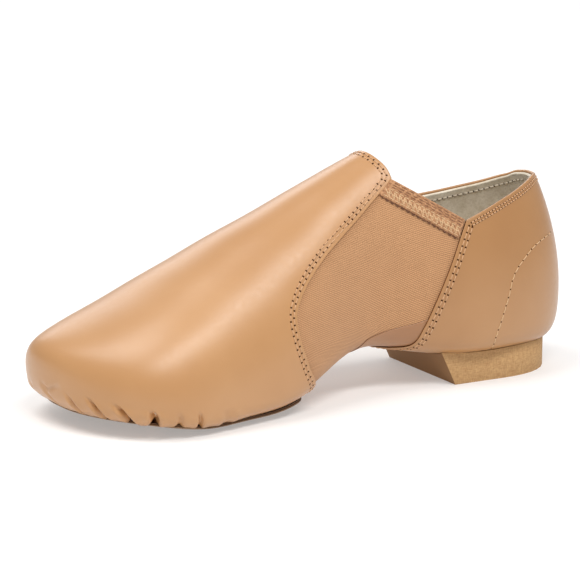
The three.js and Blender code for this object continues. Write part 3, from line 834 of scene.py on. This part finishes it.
# Painted shade: each needle's hole is a nearly black disc that stands in for the shade inside the hole.
needle_hole_shade, _, _ = finish_named(
    "needle_hole_painted_shade", Base_Color=linear(0x42230F), Roughness=0.95, Specular_IOR_Level=0.05)
# Distance of the two rows from a cut edge, and the length of a stitch, in mm
ROW_AT = (1.8, 3.4)
STITCH = 2.9
COLLAR_STITCH = 1.7
FELT_ROW_AT = 3.6
FELT_STITCH = 2.4
COUNTER_STITCH = 3.4
# The stiffener's seam in side view: distance from the heel's back and height, in mm
COUNTER = np.array([
    [10.3, 59.5], [23.7, 57.7], [32.2, 52.1], [39.3, 46.4], [41.1, 39.4], [43.5, 33.7],
    [46.5, 24.9], [48.2, 20.2], [46.8, 13.0],
]) - (HEEL_TO_ORIGIN, 0.0)
rows, collar_rows, felt_rows, counter_rows = [], [], [], []
for side in (1, -1):
    front, collar = quarter_edges[side]
    counter = np.stack([np.interp(np.linspace(0, 1, 160), np.linspace(0, 1, len(COUNTER)), column)
                        for column in COUNTER.T], -1)
    counter = np.stack([np.convolve(np.pad(column, 12, "edge"), np.ones(25) / 25, "valid")
                        for column in counter.T], -1)
    counter_rows.append(at_pitch(seen_at(counter, side, 0.25, 0.9), COUNTER_STITCH, 0.0, 1.0))
    for distance in ROW_AT:
        rows.append(at_pitch(beside(front, side * distance), STITCH, 2.0, 3.0))
        collar_at = side * (0.8 * distance + 0.4)
        collar_rows.append(at_pitch(beside(collar, collar_at), COLLAR_STITCH, 0.0, 1.5))
    felt_rows.append(at_pitch(beside(collar, side * FELT_ROW_AT), FELT_STITCH, 0.0, 3.0))


def no_relief(where):
    """A face that keeps the last's own shape."""
    return 0 * where[..., 0]


quarter_seams = sewn_piece(
    "quarter_stitches", stitches(rows, 0.0, quarter_relief, 0.27, 0.5), thread_tan, needle_hole_shade)
hand_over(quarter_seams, "tan_leather", "quarter")
collar_seams = sewn_piece(
    "collar_stitches", stitches(collar_rows, 0.0, quarter_relief, 0.24, 0.44), thread_tan, needle_hole_shade)
hand_over(collar_seams, "tan_leather", "quarter")
felt_seams = sewn_piece(
    "lining_stitches", stitches(felt_rows, LINING_BACK, no_relief, 0.36, 0.5, face=-1.0),
    thread_grey, needle_hole_shade)
hand_over(felt_seams, "lining_felt", "upper")
counter_seam = sewn_piece(
    "counter_stitches", stitches(counter_rows, 0.0, quarter_relief, 0.22, 0.36), thread_pale, needle_hole_shade)
hand_over(counter_seam, "tan_leather", "quarter")

# Arch facing
# A thin smooth leather facing that closes the arch between the two gores. It lies over the
# elastic, under the quarter's front edge, and its own front edge curves up from the arch.
FACING_BACK = 1.22
FACING = 0.35
# Its front edge: step and turn
ARCH_LINE = np.array([[0.395, 0.98], [0.403, 1.054], [0.419, 1.127], [0.441, 1.212], [0.462, 1.3]])
arch_rows = np.linspace(0, 1, 40)
arch_columns = np.linspace(0, 1, 50)
arch_knots = np.linspace(0, 1, len(ARCH_LINE))
arch_front = np.stack([fair_line(arch_knots, ARCH_LINE[:, k], False)(arch_rows) for k in (0, 1)], -1)
arch_sides = []
for side in (1, -1):
    low = arch_front * (1, side)
    back_turn = side * (ARCH_LINE[0, 1] + (2 - ARCH_LINE[0, 1]) * arch_columns)
    first = pair(step_on_edge(QUARTER_EDGE, back_turn, *QUARTER_EDGE_STEPS) - 0.008, back_turn)
    low = low + (first[0] - low[0]) * (1 - arch_rows[:, None]) ** 3
    front_turn = side * (ARCH_LINE[-1, 1] + (2 - ARCH_LINE[-1, 1]) * arch_columns)
    last = pair(ARCH_LINE[-1, 0] + 0.02 * np.sin(arch_columns * math.pi / 2), front_turn)
    last[0] = low[-1]
    high = pair(first[-1, 0] + (last[-1, 0] - first[-1, 0]) * arch_rows, 2.0 * side)
    where = fill(first, last, low, high, arch_rows, arch_columns)
    if side < 0:
        where = where[:, ::-1]
    depth = np.full(where.shape[:2], FACING_BACK)
    arch_sides.append(cut_part(
        where, depth - FACING, depth, [(0, False), (0, True), (1, side < 0)], 0.15))
# The facing's tan is darker than the vamp's: painted shade for the shade under the arch.
thin_leather_painted_shade = tan_leather("tan_leather_thin_facing_shaded", 0.5, 0x9D6C43, 0xAC7A50)
arch_facing = whole_piece("arch_facing", arch_sides, thin_leather_painted_shade, leather_cut_and_shadow)
hand_over(arch_facing, "tan_leather", "upper")

# Vamp
# One piece of the same leather over the toes and the instep, gathered in small pleats round
# the toe where it is drawn under the sole. Two rows of stitches hold it on the gores.
VAMP = 1.2
toe_line = np.linspace(1.0, 0.5, 300)
# Pleats of each side: distance from the tip of the toe, depth, half width and lean, in mm
PLEATS = {
    1: np.array([
        [7.0, 0.7, 1.8, 24.0], [24.5, 1.8, 1.3, 24.0], [37.5, 3.0, 1.3, 24.0], [49.5, 4.0, 1.4, 20.0],
        [60.5, 4.2, 1.5, 8.0], [70.5, 1.5, 1.3, 4.0], [79.0, 2.2, 1.0, 4.0], [91.5, 1.8, 1.5, 4.0],
    ]),
    -1: np.array([
        [7.0, 0.7, 1.8, 24.0], [16.0, 2.0, 1.3, 22.0], [27.0, 2.8, 1.2, 18.0], [38.0, 2.3, 1.1, 12.0],
        [47.5, 2.9, 1.2, 8.0], [59.0, 1.9, 1.2, 4.0], [70.0, 1.2, 1.4, 4.0],
    ]),
}
# The long fold's line round the tip: step and turn
TIP_FOLD = np.array([[0.93, 1.12], [0.945, 1.2], [0.96, 1.27], [0.985, 1.2], [0.995, 1.1]])


def vamp_relief(where):
    """Soft swells, and towards the sole the pleats: troughs with a bell-shaped section that
    lean to the toe as they climb, with a low swell between two of them. One long fold bends
    round under the tip of the toe on the outer side."""
    step, turn = where[..., 0], where[..., 1]
    low = ease(np.abs(turn) - 0.2 * ease(step, 0.84, 0.96), 0.98, 1.2)
    depth = wander(on_last(where), 0.1)
    for side, pleats in PLEATS.items():
        line = on_last(pair(toe_line, side * 1.2))
        run = np.insert(np.cumsum(np.linalg.norm(np.diff(line, axis=0), axis=-1)), 0, 0.0)
        place = np.interp(-step, -toe_line, run)
        mine = (turn > 0) if side > 0 else (turn < 0)
        for at, deep, half, lean in pleats:
            aside = place - at + lean * (1.3 - np.abs(turn))
            trough = np.exp(-((aside / half) ** 2))
            swell = np.exp(-((aside / (3.4 * half)) ** 2))
            fade = ease(place, 0.0, 6.0)
            depth = depth + mine * fade * low * deep * (trough - 0.3 * swell)
    fold = np.exp(-(((turn - np.interp(step, TIP_FOLD[:, 0], TIP_FOLD[:, 1])) / 0.05) ** 2))
    depth = depth + 0.9 * ease(step, 0.92, 0.945) * (1 - ease(step, 0.958, 0.982)) * fold
    gathered = ease(step, 0.6, 0.72) * ease(np.abs(turn), 1.05, 1.4)
    return depth - 0.7 * gathered


toe_turn = np.unique(np.concatenate([
    np.linspace(-2, 2, 121), np.linspace(0.95, 1.45, 38), np.linspace(-1.45, -0.95, 38)]))
vamp_step = step_on_edge(VAMP_EDGE, toe_turn, *VAMP_EDGE_STEPS)
vamp_rows = np.unique(np.concatenate([spread(60, 4, 0.006), np.linspace(0.3, 1, 170)]))
where = pair(vamp_step[None] + (1 - vamp_step[None]) * vamp_rows[:, None], toe_turn[None])
depth = np.zeros(where.shape[:2])
vamp = whole_piece(
    "vamp_leather", [cut_part(where, depth, depth + VAMP, [(0, False)], 0.45, vamp_relief)],
    leather, leather_cut_and_shadow)
hand_over(vamp, "tan_leather", "vamp")

fine_turn = np.linspace(-1.6, 1.6, 800)
vamp_line = pair(step_on_edge(VAMP_EDGE, fine_turn, *VAMP_EDGE_STEPS), fine_turn)
rows = [at_pitch(beside(vamp_line, -distance), STITCH) for distance in ROW_AT]
vamp_seams = sewn_piece(
    "vamp_stitches", stitches(rows, 0.0, vamp_relief, 0.27, 0.52), thread_tan, needle_hole_shade)
hand_over(vamp_seams, "tan_leather", "vamp")

# Gore bindings
# A folded elastic tape along the top of each gore: corded in its upper half, and sewn down
# in its lower half with a pale zigzag whose dark loops show under the lower edge.
TAPE_WIDTH = 8.4
TAPE_FACE = 0.3
TAPE = 0.9
CORD_PITCH = 1.05
# Distances of the straight rows under the tape's top edge; the zigzag runs along the middle one
TAPE_ROWS = (4.2, 5.9, 7.6)
ZIGZAG_AT = TAPE_ROWS[1]
tape_slope = (CORNER - DIP) / (CORNER - DIP)[0]
TAPE_FALL = float(np.linalg.norm(tape_slope))
tape, tape_tree, tape_shader = finish_named("binding_tape_woven", Roughness=0.7, Sheen_Weight=0.2)
# Woven tape, a little redder and darker than the elastic, with a fleck at each thread.
tape_place = node(tape_tree, "ShaderNodeTexCoord").outputs["Object"]
tape_fleck = node(
    tape_tree, "ShaderNodeTexNoise", {"Scale": 900.0, "Detail": 3.0, "Roughness": 0.6},
    {"Vector": tape_place})
tape_paint = node(tape_tree, "ShaderNodeValToRGB", None, {"Fac": tape_fleck.outputs["Fac"]})
tape_paint.color_ramp.elements[0].color = linear(0x8E5E39)
tape_paint.color_ramp.elements[0].position = 0.3
tape_paint.color_ramp.elements[1].color = linear(0xCB986C)
tape_paint.color_ramp.elements[1].position = 0.7
tape_tree.links.new(tape_paint.outputs["Color"], tape_shader.inputs["Base Color"])
tape_bump = node(
    tape_tree, "ShaderNodeBump", {"Strength": 0.4, "Distance": 0.15 * MM},
    {"Height": tape_fleck.outputs["Fac"]})
tape_tree.links.new(tape_bump.outputs["Normal"], tape_shader.inputs["Normal"])


def down_the_edge(side, edge, down, inset):
    """Places on a cut edge at several distances under the gore's top: each is found in side
    view, where the edge crosses the gore's top line lowered by that distance."""
    over = edge[:, 1] - DIP[1] - tape_slope[1] * (edge[:, 0] - DIP[0])
    order = np.argsort(over)
    view = [np.interp(-down * TAPE_FALL, over[order], edge[order, k]) for k in (0, 1)]
    return seen_at(np.stack(view, -1), side) + (inset, 0.0)


def tape_relief(where):
    """Four cords, a millimetre apart, in the upper half, as the round tops of a sine."""
    point = on_last(where)
    down = (DIP[1] + tape_slope[1] * (point[..., 0] - DIP[0]) - point[..., 2]) / TAPE_FALL
    cords = np.abs(np.sin(np.pi * down / CORD_PITCH)) * (1 - ease(down, 3.9, 4.4))
    return -0.22 * cords - 0.1 * ease(down, 4.4, 4.8) * (1 - ease(down, 7.9, 8.3))


tape_rows = np.linspace(0, 1, 80)
tape_down = np.linspace(0, 1, 70)
for side, which in ((1, "lateral"), (-1, "medial")):
    name = f"gore_binding_{which}"
    first = down_the_edge(side, QUARTER_EDGE, tape_down * TAPE_WIDTH, 0.0015)
    last = down_the_edge(side, VAMP_EDGE, tape_down * TAPE_WIDTH, 0.0015)
    ends = [(1 - tape_rows) * first[k, 0] + tape_rows * last[k, 0] for k in (0, -1)]
    low = pair(ends[0], turn_on_top(side, ends[0]))
    high = pair(ends[1], turn_on_top(side, ends[1], TAPE_WIDTH * TAPE_FALL))
    where = fill(first, last, low, high, tape_rows, tape_down)
    if side < 0:
        where = where[:, ::-1]
    depth = np.full(where.shape[:2], TAPE_FACE)
    band = whole_piece(f"{name}_tape", [cut_part(
        where, depth, depth + TAPE, [(0, False), (0, True), (1, False), (1, True)], 0.35,
        tape_relief)], tape, tape)
    hand_over(band, "binding_tape", name)

    def tape_line(down):
        """Places along the tape at a distance under its top edge."""
        ends = [down_the_edge(side, edge, np.array([down]), 0.0)[0, 0]
                for edge in (QUARTER_EDGE, VAMP_EDGE)]
        step = np.linspace(ends[0] + 0.003, ends[1] - 0.003, 200)
        return pair(step, turn_on_top(side, step, down * TAPE_FALL))

    zigzag = at_pitch(tape_line(ZIGZAG_AT), 1.15)
    swing = np.where(np.arange(len(zigzag)) % 2, -1.7, 1.7)
    zigzag = pair(zigzag[:, 0], turn_on_top(side, zigzag[:, 0], (ZIGZAG_AT + swing) * TAPE_FALL))
    loops = at_pitch(tape_line(TAPE_WIDTH), 1.25)
    swing = np.where(np.arange(len(loops)) % 2, 0.75, -0.4)
    loops = pair(loops[:, 0], turn_on_top(side, loops[:, 0], (TAPE_WIDTH + swing) * TAPE_FALL))
    straight = [at_pitch(tape_line(down), 2.4) for down in TAPE_ROWS]
    # Painted shade: thin brown threads laid along the grooves between the cords darken them.
    groove_shade_rows = [at_pitch(tape_line(cord * CORD_PITCH), 3.0) for cord in (1, 2, 3)]
    pale = sewn_piece(
        f"binding_zigzag_{which}",
        stitches([zigzag, *straight], TAPE_FACE, tape_relief, 0.2, 0.0), thread_pale, needle_hole_shade)
    hand_over(pale, "binding_tape", name)
    dark = sewn_piece(
        f"binding_loops_{which}", stitches([loops], 0.9, no_relief, 0.25, 0.0),
        thread_brown_and_groove_shade, thread_brown_and_groove_shade)
    hand_over(dark, "binding_tape", name)
    # The brown threads in the grooves are painted shade.
    groove_shade = sewn_piece(
        f"binding_groove_shade_{which}", stitches(groove_shade_rows, TAPE_FACE, tape_relief, 0.14, 0.0),
        thread_brown_and_groove_shade, thread_brown_and_groove_shade)
    hand_over(groove_shade, "binding_tape", name)

# Forefoot sole
# A thin suede patch glued and sewn over the gathered edge of the vamp. Its cut edge is dark.
# Its ends as places along the shoe, the lengths over which they are rounded, and its inset in mm
SOLE_ENDS = (0.552, 0.962)
SOLE_ROUND = (0.06, 0.25)
SOLE_INSET = 6.0


def inside_outline(point, ends, inset, rounding):
    """How far a point is inside a plan outline, in mm: the last's own half width less an inset,
    rounded at the back, and at the front the toe's own outline drawn back."""
    place = (point[..., 0] + HEEL_TO_ORIGIN) / LENGTH
    toe = ease(place, ends[1] - rounding[1], ends[1])
    step = step_of(np.minimum(place + (1 - ends[1]) * toe, 1))
    left = 1 - np.clip((place - ends[0]) / rounding[0], 0, 1)
    half = (girdle_half(step) - inset * (1 - toe)) * (1 - left**2.2) ** (1 / 2.2)
    within = half - np.abs(point[..., 1] - girdle_centre(step))
    past = np.minimum(place - ends[0], ends[1] - place) * LENGTH
    return np.where(past < 0, past, within)


def under_foot(ends, inset, rounding, rows, columns):
    """Places of a piece under the foot, one grid a side, from its outline to the keel."""
    back = step_of(ends[0]) + 0.0002
    step = back + (1 - back) * rows
    sides = []
    for side in (1, -1):
        edge = meet(
            lambda turn: inside_outline(on_last(pair(step, side * turn)), ends, inset, rounding),
            np.full_like(step, 1.0), np.full_like(step, 2.0))
        turn = edge[:, None] + (2 - edge[:, None]) * columns
        where = pair(step[:, None], side * turn)
        sides.append(where if side > 0 else where[:, ::-1])
    return sides


suede, suede_tree, suede_shader = finish_named(
    "sole_suede_split", Base_Color=linear(0x8A6A4A), Roughness=0.95, Sheen_Weight=0.3)
# Split suede: a short matt nap with darker scuffed patches a few millimetres wide.
suede_place = node(suede_tree, "ShaderNodeTexCoord").outputs["Object"]
suede_nap = node(
    suede_tree, "ShaderNodeTexNoise", {"Scale": 420.0, "Detail": 5.0, "Roughness": 0.7},
    {"Vector": suede_place})
suede_paint = node(suede_tree, "ShaderNodeValToRGB", None, {"Fac": suede_nap.outputs["Fac"]})
suede_paint.color_ramp.elements[0].color = linear(0x6E5238)
suede_paint.color_ramp.elements[0].position = 0.3
suede_paint.color_ramp.elements[1].color = linear(0xA08060)
suede_paint.color_ramp.elements[1].position = 0.7
suede_tree.links.new(suede_paint.outputs["Color"], suede_shader.inputs["Base Color"])
suede_bump = node(
    suede_tree, "ShaderNodeBump", {"Strength": 0.5, "Distance": 0.3 * MM},
    {"Height": suede_nap.outputs["Fac"]})
suede_tree.links.new(suede_bump.outputs["Normal"], suede_shader.inputs["Normal"])
# The patch's rim is painted dark brown with edge dye, which dries matt.
edge_dark, _, _ = finish_named("sole_edge_dark", Base_Color=linear(0x5A3C24), Roughness=0.85)

patch_rows = np.concatenate([0.1 * np.linspace(0, 1, 30) ** 2, np.linspace(0.1, 1, 120)[1:]])
patch_columns = spread(30, 4, 0.03)
sole_parts = []
for where, edge in zip(under_foot(SOLE_ENDS, SOLE_INSET, SOLE_ROUND, patch_rows, patch_columns),
                       ((1, False), (1, True))):
    depth = np.full(where.shape[:2], -GAP - SOLE)
    sole_parts.append(cut_part(where, depth, depth + SOLE, [edge, (0, False)], 0.35))
    sole_parts[-1][0][:, 2] = np.maximum(sole_parts[-1][0][:, 2], 0.0)
sole_patch = whole_piece("forefoot_sole_suede", sole_parts, suede, edge_dark)
hand_over(sole_patch, "sole_suede", "forefoot_sole")

# Insole
# A thin padded sock of the same grey cloth, laid on the lining from heel to toe.
INSOLE_ENDS = (0.03, 0.955)
INSOLE_ROUND = (0.12, 0.25)
INSOLE_INSET = 7.0
INSOLE_FACE = 3.0
INSOLE = 1.8
insole_parts = []
for where, edge in zip(under_foot(INSOLE_ENDS, INSOLE_INSET, INSOLE_ROUND, patch_rows, patch_columns),
                       ((1, False), (1, True))):
    depth = np.full(where.shape[:2], INSOLE_FACE)
    insole_parts.append(cut_part(where, depth, depth + INSOLE, [edge, (0, False)], 0.6))
insole_sock = whole_piece("insole_sock", insole_parts, felt, felt)
hand_over(insole_sock, "lining_felt", "insole")

# Heel
# A low block of pressed leather fibre, glued on under the heel seat and sanded flat.
heel_fibre, heel_tree, heel_shader = finish_named("heel_fibre_sanded", Roughness=0.8)
# Khaki board of pressed fibre: thin upright and level scratches cross as in a coarse cloth.
heel_place = node(heel_tree, "ShaderNodeTexCoord").outputs["Object"]
heel_long = node(heel_tree, "ShaderNodeMapping", {"Scale": (1.0, 1.0, 0.25)}, {"Vector": heel_place})
heel_flat = node(heel_tree, "ShaderNodeMapping", {"Scale": (0.3, 0.3, 1.0)}, {"Vector": heel_place})
heel_up = node(
    heel_tree, "ShaderNodeTexNoise", {"Scale": 2200.0, "Detail": 3.0, "Roughness": 0.6},
    {"Vector": heel_long.outputs["Vector"]})
heel_over = node(
    heel_tree, "ShaderNodeTexNoise", {"Scale": 1800.0, "Detail": 3.0, "Roughness": 0.6},
    {"Vector": heel_flat.outputs["Vector"]})
heel_cross = node(
    heel_tree, "ShaderNodeMix", {"Factor": 0.5},
    {"A": heel_up.outputs["Fac"], "B": heel_over.outputs["Fac"]}, data_type="FLOAT")
heel_paint = node(heel_tree, "ShaderNodeValToRGB", None, {"Fac": heel_cross.outputs["Result"]})
heel_paint.color_ramp.elements[0].color = linear(0xAE8456)
heel_paint.color_ramp.elements[0].position = 0.35
heel_paint.color_ramp.elements[1].color = linear(0xCDA674)
heel_paint.color_ramp.elements[1].position = 0.65
heel_tree.links.new(heel_paint.outputs["Color"], heel_shader.inputs["Base Color"])
heel_bump = node(
    heel_tree, "ShaderNodeBump", {"Strength": 0.4, "Distance": 0.15 * MM},
    {"Height": heel_cross.outputs["Result"]})
heel_tree.links.new(heel_bump.outputs["Normal"], heel_shader.inputs["Normal"])
# The front face is painted darker as painted shade, for the shade under the seat over it.
heel_front_painted_shade, _, _ = finish_named(
    "heel_fibre_front_painted_shade", Base_Color=linear(0x8F6A45), Roughness=0.85)

heel_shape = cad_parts["heel"].data.copy()
work = bmesh.new()
work.from_mesh(heel_shape)
bmesh.ops.remove_doubles(work, verts=work.verts, dist=1e-5)
bmesh.ops.dissolve_limit(
    work, angle_limit=math.radians(2), verts=work.verts, edges=work.edges)
work.to_mesh(heel_shape)
work.free()
heel_shape.polygons.foreach_set("use_smooth", np.ones(len(heel_shape.polygons), bool))
heel_shape.materials.clear()
heel_shape.materials.append(heel_fibre)
heel_shape.materials.append(heel_front_painted_shade)
facing = np.zeros(3 * len(heel_shape.polygons))
heel_shape.polygons.foreach_get("normal", facing)
# Faces turned to the toe take the darker front material: painted shade.
heel_shape.polygons.foreach_set("material_index", (facing[::3] > 0.6).astype(np.int32))
heel_block = bpy.data.objects.new("heel_block", heel_shape)
bpy.context.scene.collection.objects.link(heel_block)
soft_edge = heel_block.modifiers.new("sanded_edges", "BEVEL")
soft_edge.width = 0.45 * MM
soft_edge.segments = 2
soft_edge.limit_method = "ANGLE"
soft_edge.angle_limit = math.radians(40)
soft_edge.harden_normals = True
hand_over(heel_block, "heel_fibre", "heel")
